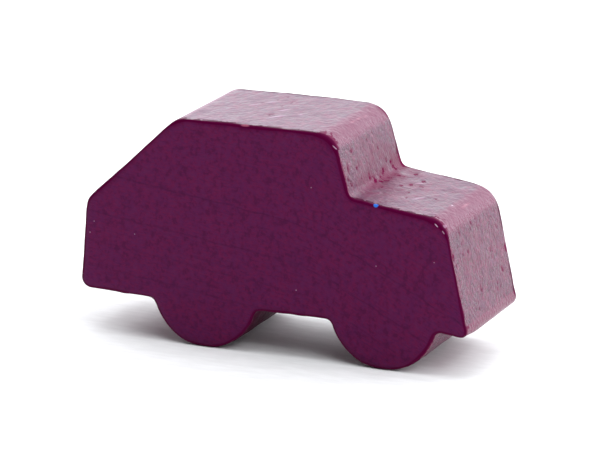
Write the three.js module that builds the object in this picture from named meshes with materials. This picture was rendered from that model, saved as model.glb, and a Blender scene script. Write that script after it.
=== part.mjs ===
// A car-shaped playing piece, cut as one body from a board of hardwood and painted all over.
//
// The side outline (saloon roof, bonnet and two wheels) is moulded along the board, slices of one
// thickness are cut off it, and tumbling eases the edges where the moulded faces meet the slice
// faces. Nothing on it comes apart or turns: the wheels are only lobes of the outline.
//
// Millimetres. +X is the front of the car, +Z is up and Y runs through the thickness. The origin
// is on the ground, below the middle of the car.

import * as THREE from "three";

// Driving dimensions
const THICKNESS = 10; // from one side face to the other
const EDGE_EASE = 0.4; // radius of the eased edge round each side face
const HEIGHT = 16.75; // from the ground to the roof
const UNDERSIDE = 3.15; // from the ground to the body's underside
const WHEEL_RADIUS = 4.1;
const FOOT_FLAT = 1.4; // length of the flat that each wheel stands on
const REAR_WHEEL_X = -5.2;
const WHEELBASE = 13.8;
const WHEEL_FILLET = 0.45; // radius of the hollow between a wheel and the underside

// Where the body's straight edges would meet, from the rear bumper over the roof to the front
// bumper, and the radius that rounds each meeting.
const CORNERS = [
  { name: "foot of the tail", x: -15.08, z: 3.3, round: 0.8 },
  { name: "foot of the hatch", x: -14.5, z: 9.98, round: 1.1 },
  { name: "back of the roof", x: -7.3, z: HEIGHT, round: 1.6 },
  { name: "front of the roof", x: 4.85, z: HEIGHT, round: 1.8 },
  { name: "foot of the windscreen", x: 6.1, z: 12.31, round: 0.5 },
  { name: "front of the bonnet", x: 13.3, z: 11.38, round: 1.8 },
  { name: "foot of the nose", x: 15.12, z: 2.95, round: 0.5 },
];

// How finely curves become facets
const ARC_STEPS = 5; // a THREE.Shape makes twice this many facets of each arc
const EASE_STEPS = 3;

const PAINT = { name: "purple_paint", color: 0x69124d, roughness: 0.45, metalness: 0 };

// The arc that rounds the corner between two straight edges.
function cornerArc(before, corner, after) {
  const here = new THREE.Vector2(corner.x, corner.z);
  const back = new THREE.Vector2(before.x, before.z).sub(here).normalize();
  const ahead = new THREE.Vector2(after.x, after.z).sub(here).normalize();
  const halfAngle = Math.acos(back.dot(ahead)) / 2;
  const toCentre = corner.round / Math.sin(halfAngle);
  const toTangent = corner.round / Math.tan(halfAngle);
  const centre = back.clone().add(ahead).normalize().multiplyScalar(toCentre).add(here);
  const start = here.clone().addScaledVector(back, toTangent);
  const end = here.clone().addScaledVector(ahead, toTangent);
  return {
    centre,
    radius: corner.round,
    from: start.sub(centre).angle(),
    to: end.sub(centre).angle(),
    clockwise: back.cross(ahead) > 0,
  };
}

// The arcs of one wheel, met from the front: a hollow fillet, the tyre down to its foot, the tyre
// up from its foot, and the second hollow fillet. The foot flat is the straight between the tyres.
function wheelArcs(wheelX) {
  const axleHeight = Math.sqrt(WHEEL_RADIUS ** 2 - (FOOT_FLAT / 2) ** 2);
  const filletHeight = UNDERSIDE - WHEEL_FILLET;
  const centresApart = WHEEL_RADIUS + WHEEL_FILLET;
  const filletReach = Math.sqrt(centresApart ** 2 - (axleHeight - filletHeight) ** 2);
  const meet = Math.atan2(filletHeight - axleHeight, filletReach);
  const footEnd = Math.atan2(-axleHeight, FOOT_FLAT / 2);
  const wheel = new THREE.Vector2(wheelX, axleHeight);
  const ahead = new THREE.Vector2(wheelX + filletReach, filletHeight);
  const behind = new THREE.Vector2(wheelX - filletReach, filletHeight);
  const hollow = { radius: WHEEL_FILLET, clockwise: false };
  const tyre = { centre: wheel, radius: WHEEL_RADIUS, clockwise: true };
  return [
    { ...hollow, centre: ahead, from: Math.PI / 2, to: Math.PI + meet },
    { ...tyre, from: meet, to: footEnd },
    { ...tyre, from: Math.PI - footEnd, to: Math.PI - meet },
    { ...hollow, centre: behind, from: -meet, to: Math.PI / 2 },
  ];
}

// The whole side outline, clockwise from the foot of the tail. The straights between the arcs are
// drawn by the shape itself.
function sideOutline() {
  const frontWheelX = REAR_WHEEL_X + WHEELBASE;
  const underFront = { x: frontWheelX + WHEEL_RADIUS, z: UNDERSIDE };
  const underRear = { x: REAR_WHEEL_X - WHEEL_RADIUS, z: UNDERSIDE };
  const stops = [underRear, ...CORNERS, underFront];
  const corners = CORNERS.map((corner, i) => cornerArc(stops[i], corner, stops[i + 2]));

  const outline = new THREE.Shape();
  for (const arc of [...corners, ...wheelArcs(frontWheelX), ...wheelArcs(REAR_WHEEL_X)]) {
    const { centre, radius, from, to, clockwise } = arc;
    outline.absarc(centre.x, centre.y, radius, from, to, clockwise);
  }
  outline.closePath();
  return outline;
}

// The outline given its thickness, with the eased edges inside it, standing upright about Y = 0.
function carBody() {
  const geometry = new THREE.ExtrudeGeometry(sideOutline(), {
    depth: THICKNESS - 2 * EDGE_EASE,
    curveSegments: ARC_STEPS,
    bevelThickness: EDGE_EASE,
    bevelSize: EDGE_EASE,
    bevelOffset: -EDGE_EASE,
    bevelSegments: EASE_STEPS,
  });
  geometry.translate(0, 0, EDGE_EASE - THICKNESS / 2);
  geometry.rotateX(Math.PI / 2);

  const body = new THREE.Mesh(geometry, new THREE.MeshStandardMaterial(PAINT));
  body.name = "car_body";
  return body;
}

const group = new THREE.Group();
group.add(carBody());

export default group;
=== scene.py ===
"""The looks of a car-shaped wooden game token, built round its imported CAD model.

One piece stands for the CAD body: its outline is read from the CAD mesh and wrapped with a fine
skin whose eased edges, tool marks and open pores are real relief. The paint is a procedural
material over that relief. Lengths are millimetres, except for the studio's, which are metres.
"""

import math

import bmesh
import bpy
import numpy as np
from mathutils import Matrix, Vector
from mathutils.geometry import delaunay_2d_cdt


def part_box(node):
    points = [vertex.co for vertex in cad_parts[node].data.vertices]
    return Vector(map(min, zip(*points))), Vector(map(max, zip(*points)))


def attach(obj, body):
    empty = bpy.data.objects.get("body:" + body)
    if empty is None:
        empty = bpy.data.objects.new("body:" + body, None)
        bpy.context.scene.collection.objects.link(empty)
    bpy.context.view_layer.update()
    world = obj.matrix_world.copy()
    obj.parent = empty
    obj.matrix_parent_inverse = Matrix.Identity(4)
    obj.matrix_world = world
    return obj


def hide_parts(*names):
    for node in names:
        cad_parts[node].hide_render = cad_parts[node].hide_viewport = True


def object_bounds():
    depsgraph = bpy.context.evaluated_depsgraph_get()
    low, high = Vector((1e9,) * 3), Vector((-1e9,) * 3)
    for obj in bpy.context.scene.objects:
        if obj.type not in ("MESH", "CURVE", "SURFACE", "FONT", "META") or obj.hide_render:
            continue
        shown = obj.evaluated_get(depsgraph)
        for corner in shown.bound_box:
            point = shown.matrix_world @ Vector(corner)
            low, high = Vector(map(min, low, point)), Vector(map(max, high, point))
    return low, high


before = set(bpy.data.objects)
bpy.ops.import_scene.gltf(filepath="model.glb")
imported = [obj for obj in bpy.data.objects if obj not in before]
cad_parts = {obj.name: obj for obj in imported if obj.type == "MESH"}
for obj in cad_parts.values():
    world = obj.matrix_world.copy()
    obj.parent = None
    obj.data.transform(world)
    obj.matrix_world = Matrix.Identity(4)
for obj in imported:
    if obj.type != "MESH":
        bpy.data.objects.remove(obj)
cad_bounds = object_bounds()

MM = 0.001  # Blender works in metres
CAD_NODE = "car_body"

# Where the camera stands
VIEW_AZIMUTH = math.radians(23.51)
VIEW_ELEVATION = math.radians(15.60)
VIEW_DISTANCE = 309.4  # from the middle of the object
VIEW_ASIDE = 0.14  # how far right of the middle the camera aims
SENSOR_WIDTH = 36.0
LENS = 259.0

# Places on the outline
UNDER_MIDDLE = dict(x=1.7, z=3.15)  # on the underside, between the wheels
COWL = dict(x=6.1, z=12.31)  # where the windscreen meets the bonnet

# The skin's mesh
WELD_REACH = 0.001  # points of the CAD mesh that are nearer to each other are one
OUTLINE_STEP = 0.108  # between points along the outline
OUTLINE_BLUR = 0.14  # how far the CAD's facets are smoothed
BEND_BLUR = 0.3  # and how far the outline's bend is, where it is measured
ACROSS_STEP = 0.125  # between points across the thickness
FACE_STEP = 0.42  # between points inside a side face
FACE_MARGIN = 0.2  # from those points to the side face's border

# The worn edges where the outline meets the side faces: a side face falls away in a wide dome,
# then turns the corner on a tight radius.
DOME_RADIUS = 1.2
DOME_TURN = math.radians(20)
DOME_STEPS = 4
CORNER_RADIUS = 0.20
CORNER_STEPS = 5
CORNER_WANDER = 0.25  # share by which the radii wander from place to place
CORNER_ON_ROUNDINGS = 0.5  # share by which tumbling has widened them on the outline's roundings
TIGHTEST_EDGE = 0.7  # share of the outline's own radius that the worn edge may take up
TIGHT_REACH = 0.5  # how far along the outline that limit spreads
LEAST_BEND = 0.1  # for that limit a straighter place counts as bent this much, in 1/mm
EDGE_BLUR = 0.2  # how far the radii are smoothed along the outline
RIM_STARTS = (0.10, 0.36)  # radians that the edge has turned where its crimson comes in
RIM_ENDS = (1.5, 1.1)  # and where it has gone, and is still in full

# How the outline lies and bends at a place, each as a pair: none of it, all of it
UPRIGHT = (0.55, 0.9)  # how far a moulded face's outward direction leans towards the car's length
LEVEL = (0.9, 0.5)  # the same, for a face that looks up or down
ROUNDED = (0.20, 0.45)  # bend of the outline, in 1/mm, where tumbling has worn its edge
SMOOTHED = (0.30, 0.50)  # and where it has smoothed the moulded face and painted it a paler rose highlight
HOLLOW = (0.15, 0.80)  # bend the other way
SMOOTHED_RELIEF = 0.15  # share of the fine relief that is left where the face is smoothed

# The three finishes: sawn on the side faces, worn on their edges, moulded on the outline's faces.
# The worn finish is also painted shade, dark and hardly reflecting, in pores, dents, hollows and
# between the wheels
WORN_TURN = 13  # degrees that the worn edge has turned where its finish starts
MOULDED_TURN = 55  # and where the moulded finish starts
TURN_WANDER = 12
NEAR_RIM = 0.32  # how far the worn finish laps over the near edge of a level face
NEAR_RIM_ON_ROUNDINGS = 0.42  # how far it laps over on the outline's roundings
RIM_RAGGED = 0.25  # share by which that lap comes and goes in specks
FAR_RIM = 0.30  # how far the worn finish laps over the far edge
FAR_RIM_WANDER = 0.35
FAR_KNOCKS = [  # where it laps over farther: place, reach along the outline and how much more
    dict(x=5.8, z=13.5, along=0.7, more=0.3),
    dict(x=6.15, z=12.3, along=0.3, more=0.15),
]

# Where a moulded face has the worn finish too, as painted shade: dark and hardly reflecting
UNDER_REACH = 6.8  # as far as this from the underside's middle: painted shade under the body between the wheels
SHADED_PORE = 0.6  # in a pore deeper than this share of PORE_DEPTH
SHADED_DENT = 0.7  # in a stroke deeper than this share of STROKE_TONE
SHADED_HOLLOW = 1.18  # in the hollows' painted shade, where specks make it stronger than this
SHADE_RAGGED = 0.3  # share by which the specks do so

# The relief of the moulded surfaces, cut inwards from the CAD's outline
WAVE_DEPTH = 0.014
DIMPLE_DEPTH = 0.010
SPECKLE_DEPTH = 0.004
BRUSHING_DEPTH = 0.004
GRAIN_DEPTH = 0.004
PORE_DEPTH = 0.022

# Random marks: how long and wide each is, how many degrees it is turned from the outline's run
# towards the far side, and the seed of its kind
WAVES = dict(along=3.6, across=2.8, angle=20, seed=1)
DIMPLES = dict(along=0.8, across=0.6, angle=65, seed=2)
SPECKLES = dict(along=0.28, across=0.26, angle=60, seed=3)
BRUSHING = dict(along=2.0, across=0.32, angle=66, seed=4)
BRUSHED_PATCHES = dict(along=4.5, across=3.5, angle=0, seed=5)
GRAINS = dict(along=0.42, across=0.22, angle=9, seed=6)
PORES = dict(along=0.30, across=0.17, angle=9, seed=7)
PORE_CROWDS = dict(along=3.0, across=2.5, angle=0, seed=8)
BLOTCHES = dict(along=0.7, across=0.6, angle=0, seed=9)
RIM_SPECKS = dict(along=0.2, across=0.2, angle=0, seed=15)

BRUSHED = (-0.3, 1.3)  # deviations of the patches between which the brushing comes in
LEAST_BRUSHED = 0.25  # share of the brushing that is left between its patches
WAVES_LOWERED = 3  # deviations by which the waves are lowered, to stay inside the CAD's outline
CROWDING = 0.4  # how much pores crowd together
PORE_STARTS = 1.7  # deviations past which a mark is a pore
DEEPEST_PORE = 1.2  # in shares of PORE_DEPTH

# Where the real token strays from the drawn outline: how deep it is cut in there (negative where
# it swells), over what reach, and between which places across its thickness that comes in.
DRIFTS = {
    "far end of the roof's front": dict(x=4.4, z=16.3, reach=1.0, depth=0.08, y=(-1, 4)),
    "far end of the bonnet's front": dict(x=13.2, z=11.0, reach=0.9, depth=0.05, y=(-1, 4)),
    "back of the roof": dict(x=-6.6, z=16.7, reach=1.6, depth=0.04, y=(-8, -7)),
    "far end of the nose's foot": dict(x=15.0, z=3.8, reach=0.7, depth=0.12, y=(0, 4.4)),
    "underside of the nose": dict(x=14.2, z=3.0, reach=0.8, depth=-0.2, y=(-4.7, -2.5)),
    "underside of the tail": dict(x=-11.6, z=3.15, reach=0.5, depth=-0.07, y=(-8, -7)),
    "middle of the hatch": dict(x=-10.9, z=13.4, reach=1.8, depth=0.05, y=(-8, -7)),
}

# Open pores and knocks: their places, their reach along the outline and across it, and depths
PITS = [
    dict(x=5.58, z=14.16, y=-4.0, along=0.45, across=0.11, depth=0.07),
    dict(x=5.9, z=13.0, y=3.1, along=0.14, across=0.20, depth=0.05),
    dict(x=6.1, z=12.4, y=-0.4, along=0.14, across=0.20, depth=0.05),
    dict(x=6.3, z=12.3, y=0.1, along=0.22, across=0.22, depth=0.06),
    dict(x=5.8, z=13.35, y=2.4, along=0.20, across=0.14, depth=0.03),
    dict(x=6.85, z=12.21, y=-0.95, along=0.12, across=0.22, depth=0.03),
    dict(x=7.6, z=12.12, y=3.6, along=0.14, across=0.32, depth=0.05),
    dict(x=7.84, z=12.09, y=0.3, along=0.14, across=0.24, depth=0.045),
    dict(x=8.21, z=12.04, y=1.1, along=0.14, across=0.28, depth=0.05),
    dict(x=8.63, z=11.98, y=2.4, along=0.15, across=0.30, depth=0.05),
    dict(x=8.78, z=11.96, y=-0.6, along=0.10, across=0.20, depth=0.03),
    dict(x=8.97, z=11.94, y=1.2, along=0.20, across=0.18, depth=0.03),
    dict(x=9.08, z=11.92, y=-1.9, along=0.10, across=0.22, depth=0.03),
    dict(x=10.79, z=11.70, y=-0.6, along=0.12, across=0.20, depth=0.025),
]

# Strokes left in the roof and the bonnet: each one's middle, its reach lengthwise and crosswise,
# how many degrees it is turned from the car's length, and its depth (negative for a ridge)
STROKES = [
    dict(x=-3.7, z=16.75, y=0.7, along=0.7, across=0.20, turn=35, depth=-0.022),
    dict(x=-2.9, z=16.75, y=1.8, along=0.8, across=0.18, turn=52, depth=-0.026),
    dict(x=-1.2, z=16.75, y=0.1, along=0.8, across=0.18, turn=60, depth=-0.030),
    dict(x=-0.8, z=16.75, y=-1.8, along=1.0, across=0.20, turn=48, depth=-0.040),
    dict(x=0.45, z=16.75, y=-0.6, along=0.4, across=0.16, turn=68, depth=-0.024),
    dict(x=-1.6, z=16.75, y=-1.3, along=0.7, across=0.22, turn=63, depth=0.040),
    dict(x=-1.8, z=16.75, y=1.2, along=0.4, across=0.18, turn=76, depth=0.030),
    dict(x=-2.4, z=16.75, y=3.7, along=0.3, across=0.16, turn=78, depth=0.035),
    dict(x=-3.5, z=16.75, y=1.6, along=0.5, across=0.18, turn=43, depth=0.025),
    dict(x=-2.8, z=16.75, y=2.7, along=0.3, across=0.16, turn=70, depth=0.030),
    dict(x=-1.6, z=16.75, y=2.4, along=0.6, across=0.18, turn=78, depth=0.030),
    dict(x=8.7, z=11.97, y=1.7, along=0.6, across=0.16, turn=44, depth=-0.030),
    dict(x=9.9, z=11.82, y=-1.5, along=0.9, across=0.16, turn=64, depth=-0.030),
]
STROKE_TONE = 0.03  # depth of a stroke that changes the paint's tone in full: painted shade in a dent, painted highlight on a ridge

# Painted highlights: pale peach streaks across the roundings at the front of the roof and the
# bonnet. Here a depth is how strongly a streak shows
PAINTED_HIGHLIGHTS = [
    dict(x=4.3, z=16.5, y=-0.2, along=0.10, across=0.5, depth=0.5),
    dict(x=4.3, z=16.5, y=0.9, along=0.10, across=0.5, depth=0.6),
    dict(x=4.4, z=16.4, y=2.0, along=0.10, across=0.4, depth=0.4),
    dict(x=12.8, z=11.2, y=0.2, along=0.13, across=0.9, depth=0.6),
]

# Painted shade, crimson and dull, in the outline's hollows and round the cowl
COWL_REACH = 2.6  # how far from the cowl the paint is stained
COWL_SHADE = 0.5
COWL_BLOTCHED = 0.6  # share by which that painted shade comes and goes
HOLLOW_SHADE = 0.7
HOLLOW_BLOTCHED = 0.2
SHADE_STARTS = (-6, 1)  # between which places across the thickness it comes in

SEED = 7
FULL_WANDER = 1.6  # deviations that count as a full wander


# ---------------------------------------------------------------- outline


def cad_section():
    """The CAD body's outline half way through its thickness, as an ordered ring of (x, z)."""
    mesh = bmesh.new()
    mesh.from_mesh(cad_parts[CAD_NODE].data)
    bmesh.ops.remove_doubles(mesh, verts=mesh.verts[:], dist=WELD_REACH * MM)
    whole = mesh.verts[:] + mesh.edges[:] + mesh.faces[:]
    cut = bmesh.ops.bisect_plane(mesh, geom=whole, plane_co=(0, 0, 0), plane_no=(0, 1, 0))
    neighbours = {}
    for part in cut["geom_cut"]:
        if isinstance(part, bmesh.types.BMEdge):
            a, b = part.verts
            neighbours.setdefault(a, []).append(b)
            neighbours.setdefault(b, []).append(a)
    first = next(iter(neighbours))
    ring = [first, neighbours[first][0]]
    while ring[-1] is not first:
        onward = [v for v in neighbours[ring[-1]] if v is not ring[-2]]
        ring.append(onward[0])
    points = np.array([(v.co.x, v.co.z) for v in ring[:-1]]) / MM
    mesh.free()
    return points


def outline():
    """The outline as evenly spaced points, clockwise from the middle of the underside, and smooth."""
    ring = cad_section()
    ahead = np.roll(ring, -1, axis=0)
    signed_area = np.sum(ring[:, 0] * ahead[:, 1] - ahead[:, 0] * ring[:, 1]) / 2
    if signed_area > 0:
        ring = ring[::-1]
    between_wheels = np.array([UNDER_MIDDLE["x"], UNDER_MIDDLE["z"]])
    start = np.argmin(np.linalg.norm(ring - between_wheels, axis=1))
    ring = np.roll(ring, -start, axis=0)
    closed = np.vstack([ring, ring[:1]])
    travelled = np.concatenate([[0], np.cumsum(np.linalg.norm(np.diff(closed, axis=0), axis=1))])
    count = round(travelled[-1] / OUTLINE_STEP)
    even = np.arange(count) * travelled[-1] / count
    points = np.stack([np.interp(even, travelled, closed[:, k]) for k in (0, 1)], axis=1)
    return blurred(points, OUTLINE_BLUR, travelled[-1] / count)


def blurred(values, width, step):
    """Values on a closed ring, smoothed by a bell curve of that width."""
    waves = np.fft.fftfreq(len(values), step)[:, None]
    kept = np.exp(-2 * (math.pi * width * waves) ** 2)
    return np.fft.ifft(np.fft.fft(values, axis=0) * kept, axis=0).real


def smoothstep(low, high, value):
    """Value's rise from low to high, or its fall where low is the higher one, as 0 to 1."""
    t = np.clip((value - low) / (high - low), 0, 1)
    return t * t * (3 - 2 * t)


def marks(shape, step, along, across, angle, seed):
    """Smooth random marks on a wrapped grid, mean 0 and deviation 1.

    Each is about `along` by `across` millimetres, its long way turned by `angle` degrees from the
    grid's first axis towards its second.
    """
    noise = np.random.default_rng(SEED + seed).standard_normal(shape)
    first = np.fft.fftfreq(shape[0], step[0])[:, None]
    second = np.fft.fftfreq(shape[1], step[1])[None, :]
    turn = math.radians(angle)
    lengthwise = first * math.cos(turn) + second * math.sin(turn)
    crosswise = second * math.cos(turn) - first * math.sin(turn)
    kept = np.exp(-((math.pi * along * lengthwise) ** 2 + (math.pi * across * crosswise) ** 2) / 2)
    field = np.fft.ifft2(np.fft.fft2(noise) * kept).real
    field -= field.mean()
    return field / field.std()


# ---------------------------------------------------------------- skin


def worn_edge():
    """The worn edge's turn at each step, and its place in shares of the corner's radius.

    Places count inwards from the outline, and down from the side face.
    """
    dome = np.linspace(0, DOME_TURN, DOME_STEPS + 1)
    corner = np.linspace(DOME_TURN, math.pi / 2, CORNER_STEPS + 1)
    turn = np.concatenate([dome, corner[1:]])
    wide = DOME_RADIUS / CORNER_RADIUS
    below_dome = np.minimum(turn, DOME_TURN)
    beyond_dome = np.maximum(turn, DOME_TURN)
    ends_in = wide * math.sin(DOME_TURN) + 1 - math.sin(DOME_TURN)
    inwards = ends_in - wide * np.sin(below_dome) - np.sin(beyond_dome) + math.sin(DOME_TURN)
    down = wide * (1 - np.cos(below_dome)) + math.cos(DOME_TURN) - np.cos(beyond_dome)
    return turn, inwards, down


class Skin:
    """The grid of points wrapped round the outline: first axis along it, second across."""

    def __init__(self):
        self.ring = outline()
        self.count = len(self.ring)
        step = np.roll(self.ring, -1, axis=0) - np.roll(self.ring, 1, axis=0)
        self.step = np.linalg.norm(step, axis=1).mean() / 2
        tangent = step / np.linalg.norm(step, axis=1)[:, None]
        self.normal = np.stack([-tangent[:, 1], tangent[:, 0]], axis=1)
        self.lean = np.abs(self.normal[:, :1])
        turning = np.cross(tangent, np.roll(tangent, -1, axis=0)) / self.step
        self.bend = -blurred(turning[:, None], BEND_BLUR, self.step)
        self.half = (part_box(CAD_NODE)[1].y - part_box(CAD_NODE)[0].y) / 2 / MM
        self.lay_rows()
        self.carve()
        self.place()

    def lay_rows(self):
        """The rows across: near worn edge, the width between, far worn edge."""
        turn, inwards, down = worn_edge()
        near, far = self.edge_scale(seed=11), self.edge_scale(seed=12)
        between = np.linspace(0, 1, round(2 * self.half / ACROSS_STEP) + 1)[1:-1]
        start = near * down[-1] - self.half
        end = self.half - far * down[-1]
        self.y = np.hstack([
            near * down - self.half,
            start + (end - start) * between,
            self.half - far * down[::-1],
        ])
        flat = np.zeros((self.count, len(between)))
        self.inset = np.hstack([near * inwards, flat, far * inwards[::-1]])
        quarter = np.full(len(between), math.pi / 2)
        self.turn = np.concatenate([turn, quarter, turn[::-1]])
        self.width = len(self.turn)

    def edge_scale(self, seed):
        """The corner's radius at each point of the outline, less where the outline turns tightly."""
        inwards = worn_edge()[1][0]
        most = TIGHTEST_EDGE / (np.maximum(self.bend, LEAST_BEND) * inwards)
        reach = round(TIGHT_REACH / self.step)
        most = np.min([np.roll(most, shift, axis=0) for shift in range(-reach, reach + 1)], axis=0)
        wider = 1 + CORNER_ON_ROUNDINGS * smoothstep(*ROUNDED, self.bend)
        radius = CORNER_RADIUS * wider * (1 + CORNER_WANDER * self.wander(size=1.4, seed=seed))
        return blurred(np.minimum(radius, most), EDGE_BLUR, self.step)

    def wander(self, size, seed):
        """A number from -1 to 1 at each point of the outline, which changes over that many mm."""
        two_rows = marks((self.count, 2), (self.step, 1), size, 1, 0, seed)
        return np.clip(two_rows[:, :1] / FULL_WANDER, -1, 1)

    def scatter(self, kind):
        """Random marks of that kind at every point."""
        return marks((self.count, self.width), (self.step, 2 * self.half / self.width), **kind)

    def travel(self, x, z):
        """How far each point of the outline is past a place on it."""
        here = np.argmin(np.hypot(self.ring[:, 0] - x, self.ring[:, 1] - z))
        away = (np.arange(self.count) - here + self.count // 2) % self.count - self.count // 2
        return away[:, None] * self.step

    def spot(self, x, z, y, along, across, turn=0):
        """1 at a place on the outline, fading over along and across, turned by degrees."""
        s, t = self.travel(x, z), self.y - y
        cosine, sine = math.cos(math.radians(turn)), math.sin(math.radians(turn))
        lengthwise, crosswise = s * cosine + t * sine, t * cosine - s * sine
        return np.exp(-2 * ((lengthwise / along) ** 2 + (crosswise / across) ** 2))

    def spots(self, places):
        """The sum of many spots, each times its depth."""
        total = np.zeros((self.count, self.width))
        for place in places:
            shape = {name: value for name, value in place.items() if name != "depth"}
            total += place["depth"] * self.spot(**shape)
        return total

    def carve(self):
        """Cut the relief into the moulded faces, and keep the fields that the paint reads."""
        whole = (self.count, self.width)
        facing_out = np.sin(self.turn) ** 3
        upright = smoothstep(*UPRIGHT, self.lean)
        rounding = smoothstep(*SMOOTHED, self.bend)
        rough = 1 - (1 - SMOOTHED_RELIEF) * rounding
        strokes = self.spots(STROKES)
        pore = self.pores(upright * rough)
        cut = self.relief(upright, rough) + strokes + self.drifts()
        self.inset = self.inset + (cut + PORE_DEPTH * pore) * facing_out
        rim = smoothstep(*RIM_STARTS, self.turn) * smoothstep(*RIM_ENDS, self.turn)
        self.edge = np.broadcast_to(rim, whole)
        self.upright = np.broadcast_to(upright, whole)
        # Fields that the paint reads: it paints shade in pores, hollows and dents, and highlights on the
        # roundings, on ridges and in streaks across the roundings
        self.pore = pore * facing_out
        self.rounding = rounding * facing_out
        self.hollow = self.shade_in_hollows() * facing_out
        self.tone = strokes * facing_out / STROKE_TONE
        self.painted_highlight = self.spots(PAINTED_HIGHLIGHTS)

    def relief(self, upright, rough):
        """How deep the random marks go; rough is the share of the fine ones that is left."""
        patch = smoothstep(*BRUSHED, self.scatter(BRUSHED_PATCHES))
        brushed = (1 - upright) * (LEAST_BRUSHED + (1 - LEAST_BRUSHED) * patch)
        fine = DIMPLE_DEPTH * self.scatter(DIMPLES) + SPECKLE_DEPTH * self.scatter(SPECKLES)
        fine = fine + BRUSHING_DEPTH * brushed * self.scatter(BRUSHING)
        fine = fine + GRAIN_DEPTH * upright * self.scatter(GRAINS)
        return WAVE_DEPTH * (WAVES_LOWERED + self.scatter(WAVES)) + rough * fine

    def pores(self, share):
        """How deep the pores are, in shares of PORE_DEPTH; the random ones only by that share."""
        crowded = self.scatter(PORES) + CROWDING * self.scatter(PORE_CROWDS)
        pores = share * np.clip(crowded - PORE_STARTS, 0, DEEPEST_PORE)
        return pores + self.spots(PITS) / PORE_DEPTH

    def drifts(self):
        """How deep each point is cut in where the real token strays from the drawn outline."""
        total = np.zeros((self.count, self.width))
        for drift in DRIFTS.values():
            around = np.hypot(self.ring[:, :1] - drift["x"], self.ring[:, 1:] - drift["z"])
            here = np.exp(-((around / drift["reach"]) ** 2))
            total += drift["depth"] * here * smoothstep(*drift["y"], self.y)
        return total

    def shade_in_hollows(self):
        """How much painted shade, crimson and dull, the outline's hollows and the paint round the cowl
        have.
        """
        hollow = smoothstep(*HOLLOW, -blurred(self.bend, BEND_BLUR, self.step))
        around_cowl = np.exp(-((self.travel(**COWL) / COWL_REACH) ** 2))
        blotch = self.scatter(BLOTCHES)
        shade_in_hollows = hollow * (HOLLOW_SHADE + HOLLOW_BLOTCHED * blotch)
        shade_in_hollows = shade_in_hollows + COWL_SHADE * around_cowl * np.clip(1 + COWL_BLOTCHED * blotch, 0, 2)
        return np.clip(shade_in_hollows, 0, 1) * smoothstep(*SHADE_STARTS, self.y)

    def finishes(self):
        """Each quad's finish: 0 sawn, 1 worn, which is also painted shade, and 2 moulded."""
        turn = np.degrees(self.turn[:-1] + self.turn[1:]) / 2
        specks = marks((self.count, self.width), (self.step, ACROSS_STEP), **RIM_SPECKS)[:, 1:]
        near_rim = NEAR_RIM * smoothstep(*LEVEL, self.lean)
        near_rim = near_rim + NEAR_RIM_ON_ROUNDINGS * smoothstep(*ROUNDED, self.bend)
        far_rim = FAR_RIM * (1 + FAR_RIM_WANDER * self.wander(size=0.9, seed=14))
        for knock in FAR_KNOCKS:
            away = self.travel(knock["x"], knock["z"])
            far_rim = far_rim + knock["more"] * np.exp(-2 * (away / knock["along"]) ** 2)
        # Painted shade: deep pores, dents, the hollows and the underside between the wheels take the
        # dark worn finish
        shaded_quads = (self.pore[:, 1:] > SHADED_PORE) | (self.tone[:, 1:] > SHADED_DENT)
        shaded_quads = shaded_quads | (self.hollow[:, 1:] * (1 + SHADE_RAGGED * specks) > SHADED_HOLLOW)
        shaded_quads = shaded_quads | (np.abs(self.travel(**UNDER_MIDDLE)) < UNDER_REACH)
        moulded = turn > MOULDED_TURN + TURN_WANDER * self.wander(size=0.7, seed=13)
        moulded = moulded & (self.y[:, :-1] > near_rim * (1 + RIM_RAGGED * specks) - self.half)
        moulded = moulded & (self.y[:, 1:] < self.half - far_rim) & ~shaded_quads
        return (turn > WORN_TURN) * 1 + moulded

    def place(self):
        """Every point's position in the upright plane, kept inside the CAD body's box."""
        low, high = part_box(CAD_NODE)
        x = self.ring[:, :1] - self.normal[:, :1] * self.inset
        z = self.ring[:, 1:] - self.normal[:, 1:] * self.inset
        self.x = np.clip(x, low.x / MM, high.x / MM)
        self.z = np.clip(z, 0, high.z / MM)


def face_points(border):
    """A side face's points and triangles in (x, z): its border and an even grid inside it.

    The third result lists for each point which of the given ones it stands for, counted along the
    border first.
    """
    low, high = border.min(axis=0), border.max(axis=0)
    columns = np.arange(low[0], high[0], FACE_STEP)
    lines = np.arange(low[1], high[1], FACE_STEP * math.sin(math.radians(60)))
    grid = np.array([(x + FACE_STEP / 2 * (i % 2), z) for i, z in enumerate(lines) for x in columns])
    inside = grid[inside_ring(grid, border)]
    points = [Vector(p) for p in np.vstack([border, inside])]
    ring = list(range(len(border)))
    keep_inside = 1
    too_close = 1e-7
    made = delaunay_2d_cdt(points, [], [ring], keep_inside, too_close)
    return np.array([tuple(p) for p in made[0]]), made[2], made[3]


def inside_ring(grid, border):
    """Which grid points lie inside the border, and not close to it."""
    crossings = np.zeros(len(grid), int)
    for a, b in zip(border, np.roll(border, -1, axis=0)):
        spans = (a[1] > grid[:, 1]) != (b[1] > grid[:, 1])
        if a[1] != b[1]:
            x = a[0] + (grid[:, 1] - a[1]) * (b[0] - a[0]) / (b[1] - a[1])
            crossings += spans & (grid[:, 0] < x)
    gap = np.full(len(grid), np.inf)
    for point in border:
        gap = np.minimum(gap, np.linalg.norm(grid - point, axis=1))
    return (crossings % 2 == 1) & (gap > FACE_MARGIN)


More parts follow.
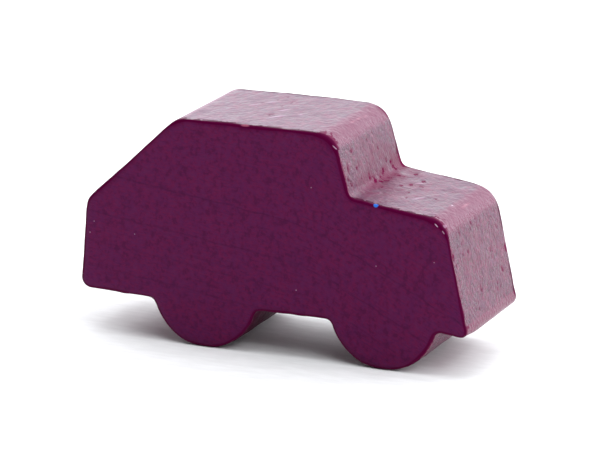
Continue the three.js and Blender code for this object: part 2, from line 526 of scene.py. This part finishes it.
def token_mesh(skin):
    """The skin and its two side faces as one closed mesh, with the fields that the paint reads."""
    count, width = skin.count, skin.width
    points = np.stack([skin.x, skin.y, skin.z], axis=2).reshape(-1, 3)
    index = np.arange(count * width).reshape(count, width)
    ahead = np.roll(index, -1, axis=0)
    quads = np.stack([index[:, :-1], ahead[:, :-1], ahead[:, 1:], index[:, 1:]], axis=2).reshape(-1, 4)
    faces = quads.tolist()
    extra = []
    for side, row in ((-1, 0), (1, width - 1)):
        border = np.stack([skin.x[:, row], skin.z[:, row]], axis=1)
        flat, triangles, sources = face_points(border)
        place = {}
        for k, origin in enumerate(sources):
            on_border = [i for i in origin if i < count]
            if on_border:
                place[k] = index[on_border[0], row]
            else:
                place[k] = len(points) + len(extra)
                extra.append((flat[k][0], side * skin.half, flat[k][1]))
        for triangle in triangles:
            corners = [place[k] for k in triangle]
            faces.append(corners if side < 0 else corners[::-1])
    points = np.vstack([points, np.array(extra)])
    mesh = bpy.data.meshes.new("token")
    mesh.from_pydata((points * MM).tolist(), [], faces)
    mesh.validate()
    mesh.update()
    for name in ("pore", "edge", "upright", "rounding", "hollow", "tone", "painted_highlight"):
        add_field(mesh, name, getattr(skin, name))
    mesh.shade_smooth()
    finish = np.zeros(len(mesh.polygons), np.int32)
    finish[: len(quads)] = skin.finishes().ravel()
    mesh.polygons.foreach_set("material_index", finish)
    return mesh


def add_field(mesh, name, values):
    """A number for each point of the skin, and 0 inside the side faces."""
    numbers = np.zeros(len(mesh.vertices), np.float32)
    numbers[: values.size] = np.ascontiguousarray(values, np.float32).ravel()
    mesh.attributes.new(name, "FLOAT", "POINT").data.foreach_set("value", numbers)


# ---------------------------------------------------------------- paint


class Nodes:
    """A short way to add nodes to a tree and to link them."""

    def __init__(self, tree):
        self.tree = tree
        tree.nodes.clear()

    def add(self, kind, inputs=None, output=0, **settings):
        """A node with those settings; an input is a value or another node's output."""
        node = self.tree.nodes.new(kind)
        for name, value in settings.items():
            setattr(node, name, value)
        for name, value in (inputs or {}).items():
            socket = node.inputs[name]
            if isinstance(value, bpy.types.NodeSocket):
                self.tree.links.new(value, socket)
            else:
                socket.default_value = value
        return node.outputs[output] if node.outputs else node

    def math(self, operation, a, b=0.0, c=0.0):
        return self.add("ShaderNodeMath", {0: a, 1: b, 2: c}, operation=operation)

    def field(self, name):
        """The number that the mesh has under that name."""
        return self.add("ShaderNodeAttribute", output="Fac", attribute_name=name)

    def step(self, value, low, high, to_low=0.0, to_high=1.0):
        """Value's rise from low to high, smoothed, as a number from to_low to to_high."""
        inputs = {"Value": value, "From Min": low, "From Max": high, "To Min": to_low, "To Max": to_high}
        return self.add("ShaderNodeMapRange", inputs, interpolation_type="SMOOTHSTEP")

    def mix(self, share, a, b):
        """Colour a turning into colour b."""
        factor, first, second = 0, 6, 7  # the node's sockets for colours
        inputs = {factor: share, first: a, second: b}
        return self.add("ShaderNodeMix", inputs, output=2, data_type="RGBA")

    def blend(self, share, a, b):
        """Number a turning into number b."""
        return self.math("MULTIPLY_ADD", share, self.math("SUBTRACT", b, a), a)

    def noise(self, place, scale, detail, rough):
        """Noise that varies that many times per unit of each axis."""
        scaled = self.add("ShaderNodeMapping", {"Vector": place, "Scale": scale})
        inputs = {"Vector": scaled, "Scale": 1.0, "Detail": detail, "Roughness": rough}
        return self.add("ShaderNodeTexNoise", inputs)


# Paint colours, as linear light
SAWN_RED = (0.117, 0.0036, 0.035, 1)
SAWN_BLUE = (0.089, 0.0052, 0.044, 1)
MOULDED_ROSE = (0.135, 0.0020, 0.045, 1)
MOULDED_GREY = (0.082, 0.0080, 0.045, 1)
# Painted highlight: the paler rose of the convex roundings
ROUNDING_ROSE = (0.150, 0.0080, 0.052, 1)
# Crimson: the moulded faces' edges, and the painted shade in hollows, dents and pores
CRIMSON = (0.140, 0.0012, 0.042, 1)
# RIM and DEEP are also the worn finish's, which is painted shade in pores, dents, hollows and between
# the wheels
RIM = (0.078, 0.0001, 0.027, 1)
DEEP = (0.050, 0.0008, 0.020, 1)
# The pale peach of the painted highlights across the roundings
PEACH = (0.42, 0.15, 0.20, 1)
# Pale: dust specks, the painted glints on the near rim, and the painted highlights on ridges
PALE = (0.55, 0.36, 0.48, 1)
# Painted sheen: the pale that the raised grains are painted, standing in for their reflection
PAINTED_SHEEN = (0.42, 0.16, 0.28, 1)
STRAY_BLUE = (0.03, 0.16, 0.62, 1)
STRAY_RED = (0.46, 0.12, 0.18, 1)

GRAIN_SLOPE = 0.13  # how much the long grain falls towards the front
GRAIN_BEND = 0.38  # how much more it falls in front of the bend
BEND_X = 3.0
BEND_REACH = 4.0
BRUSH_TURN = math.radians(58)  # strokes on the roof and bonnet, from the car's length

# How often the paint's patterns vary per millimetre: along the grain, across, and from ring to ring
CLOUD_SCALE = (0.6, 0.6, 0.6)
FIBRE_SCALE = (1.3, 3.0, 8.0)
LINE_SCALE = (0.16, 0.6, 3.5)
BRUSH_SCALE = (2.0, 2.6, 2.3)  # along the strokes, across them, and upwards

# The hue, counted from the mottling: how much the grit and the clouds shift it, and where it is
# all cool and all warm
HUE_BY_GRIT = -0.5
HUE_BY_CLOUD = 0.4
HUE_TURNS = dict(low=0.31, high=0.59)

# The layers over that colour: where a layer's pattern brings it in, and how strongly at most
FIBRES_SHOW = dict(low=0.50, high=0.70, to_high=0.45)
LINES_SHOW = dict(low=0.58, high=0.72, to_high=0.35)
RINGS_SHOW = dict(low=0.35, high=0.60, to_low=0.25)
DIPS_SHOW = dict(low=0.52, high=0.32)
# Where the grit brings in the painted sheen of the raised grains
GRAINS_SHOW = dict(low=0.50, high=0.72)
# Painted shade in the strokes' dents and in pores, and painted highlight on the strokes' ridges
SHADE_IN_DENTS = dict(low=0.0, high=1.0, to_high=0.7)
HIGHLIGHT_ON_RIDGES = dict(low=0.0, high=-1.0, to_high=0.4)
PORES_SHOW = dict(low=0.05, high=0.9, to_high=0.8)
SPECKS_AND_GLINTS_SHOW = dict(low=1.0, high=0.6)
SHEEN_ON_LEVEL = 0.6  # share of the painted sheen on the grains that level faces have
# Painted highlight: how far the convex roundings turn paler rose
ROSE_ON_ROUNDINGS = 0.8
# Painted shade: how crimson the hollows and the paint round the cowl turn
CRIMSON_IN_HOLLOWS = 0.9

# How much rougher the paint is: either way with its grit, on upright faces, in pores and in the hollows
ROUGHER_BY_GRIT = 0.05
ROUGHER_UPRIGHT = -0.10
ROUGHER_IN_PORE = 0.20
ROUGHER_IN_HOLLOWS = 0.25

FIBRE_RELIEF = 0.3  # height of the fibres, in shares of the grit's

# The dark lines of the growth rings: height at the middle of the car's length, and strength
RINGS = [(10.33, 0.75), (7.35, 0.65), (5.20, 0.40), (3.30, 0.50)]
RING_WIDTH = 0.13
RING_WANDER = 0.5

# Dust specks, stray paint, and painted glints: the pale arcs on the near rim's rounded corners at
# the front of the roof and of the bonnet. Each is an ellipsoid in which the paint has another
# colour: its middle, half its length, thickness and height, how many degrees its length slopes
# down to the front, how strongly the colour shows, and that colour.
SPECKS_AND_GLINTS = [
    ((3.17, -5.0, 12.73), (0.05, 0.05, 0.05), 0, 0.5, PALE),
    ((2.02, -5.0, 5.10), (0.06, 0.06, 0.06), 0, 0.5, PALE),
    ((-10.6, -5.0, 7.80), (0.05, 0.05, 0.05), 0, 0.5, PALE),
    ((-14.16, -5.0, 7.55), (0.06, 0.06, 0.06), 0, 0.5, PALE),
    ((-13.82, -5.0, 8.41), (0.05, 0.05, 0.05), 0, 0.5, PALE),
    ((12.49, -5.0, 8.33), (0.05, 0.05, 0.05), 0, 0.5, PALE),
    ((8.12, -5.0, 7.57), (0.05, 0.05, 0.05), 0, 0.5, PALE),
    ((12.25, -0.99, 11.50), (0.13, 0.13, 0.13), 0, 1.0, PALE),
    ((8.05, -4.90, 11.98), (0.22, 0.22, 0.22), 0, 1.0, STRAY_BLUE),
    ((-1.94, -4.85, 16.66), (0.40, 0.30, 0.08), 0, 0.5, STRAY_RED),
    # Painted glints: pale arcs on the near rim's corners, at the roof's front and then at the bonnet's
    ((4.94, -4.90, 16.06), (0.28, 0.90, 0.04), 51, 0.5, PALE),
    ((4.90, -4.90, 15.78), (0.25, 0.90, 0.045), 43, 0.6, PALE),
    ((12.60, -4.90, 11.00), (0.20, 0.90, 0.05), 40, 0.8, PALE),
    ((13.16, -4.90, 10.86), (0.30, 0.90, 0.030), 45, 0.3, PALE),
    ((13.13, -4.90, 10.56), (0.18, 0.90, 0.045), 51, 0.5, PALE),
]


class Grain:
    """The place in millimetres, and the patterns that the wood gives the paint there."""

    def __init__(self, nodes, mottle_scale, fine_scale):
        place = nodes.add("ShaderNodeTexCoord", output="Object")
        self.in_mm = nodes.add("ShaderNodeVectorMath", {0: place, "Scale": 1 / MM}, operation="SCALE")
        turned = self.along_rings(nodes)
        brushed = nodes.add("ShaderNodeMapping", {"Vector": self.in_mm, "Rotation": (0, 0, -BRUSH_TURN)})
        coarse = nodes.noise(brushed, BRUSH_SCALE, detail=2.5, rough=0.65)
        fine = nodes.noise(turned, fine_scale, detail=2.0, rough=0.6)
        self.cloud = nodes.noise(self.in_mm, CLOUD_SCALE, detail=2.0, rough=0.5)
        self.fibre = nodes.noise(turned, FIBRE_SCALE, detail=3.0, rough=0.6)
        self.line = nodes.noise(turned, LINE_SCALE, detail=3.0, rough=0.55)
        self.mottle = nodes.noise(turned, mottle_scale, detail=2.0, rough=0.6)
        self.upright = nodes.field("upright")
        self.grit = nodes.blend(self.upright, coarse, fine)

    def along_rings(self, nodes):
        """The place, with its height counted from growth ring to growth ring."""
        x, y, z = (nodes.add("ShaderNodeSeparateXYZ", {0: self.in_mm}, axis) for axis in range(3))
        ahead = nodes.math("SMOOTH_MAX", nodes.math("SUBTRACT", x, BEND_X), 0.0, BEND_REACH)
        height = nodes.math("MULTIPLY_ADD", x, GRAIN_SLOPE, z)
        self.height = nodes.math("MULTIPLY_ADD", ahead, GRAIN_BEND, height)
        return nodes.add("ShaderNodeCombineXYZ", {0: x, 1: y, 2: self.height})


def ring_lines(nodes, grain):
    """How strongly the dark line of each growth ring shows."""
    wandering = nodes.math("MULTIPLY_ADD", grain.cloud, RING_WANDER, grain.height)
    patchy = nodes.step(grain.fibre, **RINGS_SHOW)
    for ring, strength in RINGS:
        away = nodes.math("ABSOLUTE", nodes.math("SUBTRACT", wandering, ring + RING_WANDER / 2))
        line = nodes.step(away, RING_WIDTH, 0.0, to_high=strength)
        yield nodes.math("MULTIPLY", line, patchy)


def speck_and_glint(nodes, in_mm, place, size, slope, strength):
    """How strongly one speck, stray paint or painted glint shows: as much as strength in its ellipsoid,
    and not outside.
    """
    turn = (0, math.radians(slope), 0)
    ellipsoid = {"Vector": in_mm, "Location": place, "Rotation": turn, "Scale": size}
    own = nodes.add("ShaderNodeMapping", ellipsoid, vector_type="TEXTURE")
    away = nodes.add("ShaderNodeVectorMath", {0: own}, 1, operation="LENGTH")
    return nodes.step(away, **SPECKS_AND_GLINTS_SHOW, to_high=strength)


def layers(nodes, grain, rim, rings, bloom, deep):
    """What lies over the paint's own colour, lowest first: how strongly it shows, and its colour.
    Among them are painted sheen, highlights, shade and glints.
    """
    yield nodes.step(grain.fibre, **FIBRES_SHOW), DEEP
    yield nodes.step(grain.line, **LINES_SHOW), DEEP
    if rings:
        for line in ring_lines(nodes, grain):
            yield line, DEEP
    yield nodes.step(grain.grit, **DIPS_SHOW, to_high=deep), DEEP
    # Painted sheen: the raised grains paler, standing in for their reflection
    most_bloom = nodes.step(grain.upright, 0.0, 1.0, to_low=bloom * SHEEN_ON_LEVEL, to_high=bloom)
    yield nodes.math("MULTIPLY", nodes.step(grain.grit, **GRAINS_SHOW), most_bloom), PAINTED_SHEEN
    # Painted highlight: the convex roundings paler rose
    yield nodes.math("MULTIPLY", nodes.field("rounding"), ROSE_ON_ROUNDINGS), ROUNDING_ROSE
    # Painted shade: the hollows and the paint round the cowl turn crimson
    yield nodes.math("MULTIPLY", nodes.field("hollow"), CRIMSON_IN_HOLLOWS), CRIMSON
    # Painted shade in the strokes' dents, and painted highlight on their ridges
    yield nodes.step(nodes.field("tone"), **SHADE_IN_DENTS), CRIMSON
    yield nodes.step(nodes.field("tone"), **HIGHLIGHT_ON_RIDGES), PALE
    # Painted highlights: pale peach streaks across the roundings
    yield nodes.field("painted_highlight"), PEACH
    yield nodes.field("edge"), rim
    # Painted shade in the pores
    yield nodes.step(nodes.field("pore"), **PORES_SHOW), CRIMSON
    # Dust specks, stray paint, and painted glints on the near rim's corners
    for place, size, slope, strength, colour in SPECKS_AND_GLINTS:
        yield speck_and_glint(nodes, grain.in_mm, place, size, slope, strength), colour


def paint_colour(nodes, grain, cool, warm, **layering):
    """The paint's own colour, which wanders from cool to warm, under all its layers."""
    hue = nodes.math("MULTIPLY_ADD", grain.grit, HUE_BY_GRIT, grain.mottle)
    hue = nodes.math("MULTIPLY_ADD", grain.cloud, HUE_BY_CLOUD, hue)
    colour = nodes.mix(nodes.step(hue, **HUE_TURNS), cool, warm)
    for strength, layer in layers(nodes, grain, **layering):
        colour = nodes.mix(strength, colour, layer)
    return colour


def paint_roughness(nodes, grain, rough):
    """About as rough as asked for: less on upright faces, more in pores and in the hollows."""
    roughness = nodes.step(grain.grit, 0.3, 0.7, rough - ROUGHER_BY_GRIT, rough + ROUGHER_BY_GRIT)
    roughness = nodes.math("MULTIPLY_ADD", grain.upright, ROUGHER_UPRIGHT, roughness)
    roughness = nodes.math("MULTIPLY_ADD", nodes.field("pore"), ROUGHER_IN_PORE, roughness)
    return nodes.math("MULTIPLY_ADD", nodes.field("hollow"), ROUGHER_IN_HOLLOWS, roughness)


def paint(name, level, tint, rough, bump_height, mottle_scale, fine_scale, **colours):
    """Satin paint that lets the wood's grain show.

    It reflects as much as level says, in tint's colour. Among the colours, cool and warm are the
    ends of its own hue and rim is what the worn edges turn to. Rings says whether the growth rings
    show, the next argument how pale its grains are (a painted sheen that stands in for their
    reflection), and deep how dark the dips between them are.
    """
    material = bpy.data.materials.new(name)
    material.use_nodes = True
    nodes = Nodes(material.node_tree)
    grain = Grain(nodes, mottle_scale, fine_scale)
    relief = nodes.math("MULTIPLY_ADD", grain.fibre, FIBRE_RELIEF, grain.grit)
    bump = {"Height": relief, "Strength": 1.0, "Distance": bump_height * MM}
    inputs = {
        "Base Color": paint_colour(nodes, grain, **colours),
        "Roughness": paint_roughness(nodes, grain, rough),
        "Normal": nodes.add("ShaderNodeBump", bump),
        "IOR": 1.5,
        "Specular IOR Level": level,
        "Specular Tint": tint,
    }
    shader = nodes.add("ShaderNodeBsdfPrincipled", inputs)
    nodes.add("ShaderNodeOutputMaterial", {"Surface": shader})
    return material


def sawn_paint():
    """On the side faces: dark, with red and blue tones drawn out along the grain."""
    return paint(
        "paint_on_sawn_faces",
        level=0.25,
        tint=(0.54, 0.30, 1.0, 1),
        rough=0.45,
        bump_height=0.010,
        mottle_scale=(3.0, 5.0, 6.0),
        fine_scale=(3.5, 6.0, 9.0),
        cool=SAWN_BLUE,
        warm=SAWN_RED,
        rim=RIM,
        rings=True,
        # a faint painted sheen on its grains
        bloom=0.03,
        deep=0.7,
    )


def worn_and_shade_paint():
    """On the worn edges: dark crimson, and it hardly reflects. In pores, dents and hollows and between
    the wheels it is painted shade.
    """
    return paint(
        "paint_on_worn_edges_and_in_shade",
        level=0.04,
        tint=(1, 0.75, 1, 1),
        rough=0.42,
        bump_height=0.010,
        mottle_scale=(2.4, 4.5, 4.5),
        fine_scale=(2.9, 4.8, 5.0),
        cool=DEEP,
        warm=RIM,
        rim=RIM,
        rings=False,
        bloom=0.0,
        deep=0.3,
    )


def moulded_paint():
    """On the outline's faces: it reflects more, over a granular surface."""
    return paint(
        "paint_on_moulded_faces",
        level=0.42,
        tint=(1, 1, 1, 1),
        rough=0.37,
        bump_height=0.080,
        mottle_scale=(2.6, 2.6, 3.0),
        fine_scale=(4.6, 4.6, 3.0),
        cool=MOULDED_GREY,
        warm=MOULDED_ROSE,
        rim=CRIMSON,
        rings=False,
        # a painted sheen on its grains, standing in for their reflection
        bloom=0.15,
        deep=0.7,
    )


# ---------------------------------------------------------------- token


def make_token():
    token = bpy.data.objects.new("painted_token", token_mesh(Skin()))
    bpy.context.scene.collection.objects.link(token)
    for finish in (sawn_paint(), worn_and_shade_paint(), moulded_paint()):
        token.data.materials.append(finish)
    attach(token, "root")
    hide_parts(CAD_NODE)
    return token


# ---------------------------------------------------------------- studio, in metres


PAPER = (0.93, 0.95, 0.90, 1)
PAPER_DARK = (0.85, 0.87, 0.82, 1)
PAPER_STREAKS = (400, 1600, 400)  # how often the paper's shade varies per metre of each axis
FLOOR_REACH = 3.0  # from the middle of the floor to its sides

LIGHT_DISTANCE = 1.0
LIGHT_COLOUR = (0.97, 0.97, 1.05)

# The kinds of light: the elevations in degrees between which one stands, and its width
WALL = dict(low=0, high=35, width=0.80)
CEILING = dict(low=35, high=60, width=0.56)
TOP = dict(low=63, high=87, width=0.42)
LAMP = dict(low=41.1, high=44.5, width=0.06)

# The world where light bounces, and where the camera sees it
SKY_DIM = {"Color": (0.9, 0.92, 1, 1), "Strength": 0.08}
SKY_WHITE = {"Color": (1, 1, 1, 1), "Strength": 1.1}


def camera_axes():
    """The camera's right and backward directions."""
    right = Vector((math.cos(VIEW_AZIMUTH), math.sin(VIEW_AZIMUTH), 0))
    level = Vector((math.sin(VIEW_AZIMUTH), -math.cos(VIEW_AZIMUTH), 0))
    back = level * math.cos(VIEW_ELEVATION) + Vector((0, 0, math.sin(VIEW_ELEVATION)))
    return right, back


def make_camera():
    low, high = cad_bounds
    right, back = camera_axes()
    lens = bpy.data.cameras.new("camera")
    lens.sensor_width = SENSOR_WIDTH
    lens.lens = LENS
    lens.clip_start = 0.01
    lens.clip_end = 20
    camera = bpy.data.objects.new("camera", lens)
    camera.location = (low + high) / 2 + (back * VIEW_DISTANCE + right * VIEW_ASIDE) * MM
    camera.rotation_mode = "QUATERNION"
    camera.rotation_quaternion = (-back).to_track_quat("-Z", "Y")
    bpy.context.scene.collection.objects.link(camera)
    bpy.context.scene.camera = camera


def softbox(name, azimuth, radiance, low, high, width):
    """A rectangular light that faces the token, between two elevations in degrees.

    Radiance is how bright its surface looks. Azimuth counts from the front of the car, +X, towards
    its far side, +Y.
    """
    turn, lift = math.radians(azimuth), math.radians((low + high) / 2)
    toward = Vector((math.cos(turn) * math.cos(lift), math.sin(turn) * math.cos(lift), math.sin(lift)))
    height = 2 * LIGHT_DISTANCE * math.tan(math.radians(high - low) / 2)
    light = bpy.data.lights.new(name, "AREA")
    light.shape = "RECTANGLE"
    light.size, light.size_y = width, height
    light.energy = radiance * math.pi * width * height
    light.color = LIGHT_COLOUR
    box = bpy.data.objects.new(name, light)
    box.location = toward * LIGHT_DISTANCE
    box.rotation_mode = "QUATERNION"
    box.rotation_quaternion = toward.to_track_quat("Z", "Y")
    box.visible_camera = False
    bpy.context.scene.collection.objects.link(box)


def make_lights():
    for azimuth in (45, 90, 135):
        softbox("back_wall", azimuth, 2.55, **WALL)
        softbox("back_ceiling", azimuth, 1.85, **CEILING)
    softbox("back_top", 90, 1.85, **TOP)
    softbox("right_wall", 0, 2.3, **WALL)
    softbox("right_ceiling", 0, 2.3, **CEILING)
    softbox("left_ceiling", 180, 3.2, **CEILING)
    softbox("left_top", 180, 3.2, **TOP)
    softbox("front_ceiling", -45, 2.46, **CEILING)
    softbox("front_top", -90, 2.46, **TOP)
    softbox("right_top", 0, 2.46, **TOP)
    softbox("key_lamp", -38.9, 60, **LAMP)


def white_paper():
    """Matt paper with faint streaks, which show only in its shade."""
    material = bpy.data.materials.new("white_paper")
    material.use_nodes = True
    nodes = Nodes(material.node_tree)
    place = nodes.add("ShaderNodeTexCoord", output="Object")
    streaks = nodes.noise(place, PAPER_STREAKS, detail=4.0, rough=0.65)
    shade = nodes.step(streaks, 0.3, 0.7)
    colour = nodes.mix(shade, PAPER_DARK, PAPER)
    inputs = {"Base Color": colour, "Roughness": 0.9, "Specular IOR Level": 0.1}
    nodes.add("ShaderNodeOutputMaterial", {"Surface": nodes.add("ShaderNodeBsdfPrincipled", inputs)})
    return material


def make_floor():
    mesh = bpy.data.meshes.new("floor")
    corners = [(x * FLOOR_REACH, y * FLOOR_REACH, 0) for x, y in ((-1, -1), (1, -1), (1, 1), (-1, 1))]
    mesh.from_pydata(corners, [], [(0, 1, 2, 3)])
    mesh.materials.append(white_paper())
    floor = bpy.data.objects.new("floor", mesh)
    bpy.context.scene.collection.objects.link(floor)


def make_world():
    """White where the camera sees past the floor, and dim where light bounces."""
    world = bpy.data.worlds.new("studio")
    bpy.context.scene.world = world
    world.use_nodes = True
    nodes = Nodes(world.node_tree)
    seen = nodes.add("ShaderNodeLightPath", output="Is Camera Ray")
    dim = nodes.add("ShaderNodeBackground", SKY_DIM)
    white = nodes.add("ShaderNodeBackground", SKY_WHITE)
    both = nodes.add("ShaderNodeMixShader", {0: seen, 1: dim, 2: white})
    nodes.add("ShaderNodeOutputWorld", {"Surface": both})


def make_view():
    settings = bpy.context.scene.view_settings
    settings.view_transform = "Standard"
    settings.look = "None"


make_camera()
make_token()
make_floor()
make_lights()
make_world()
make_view()
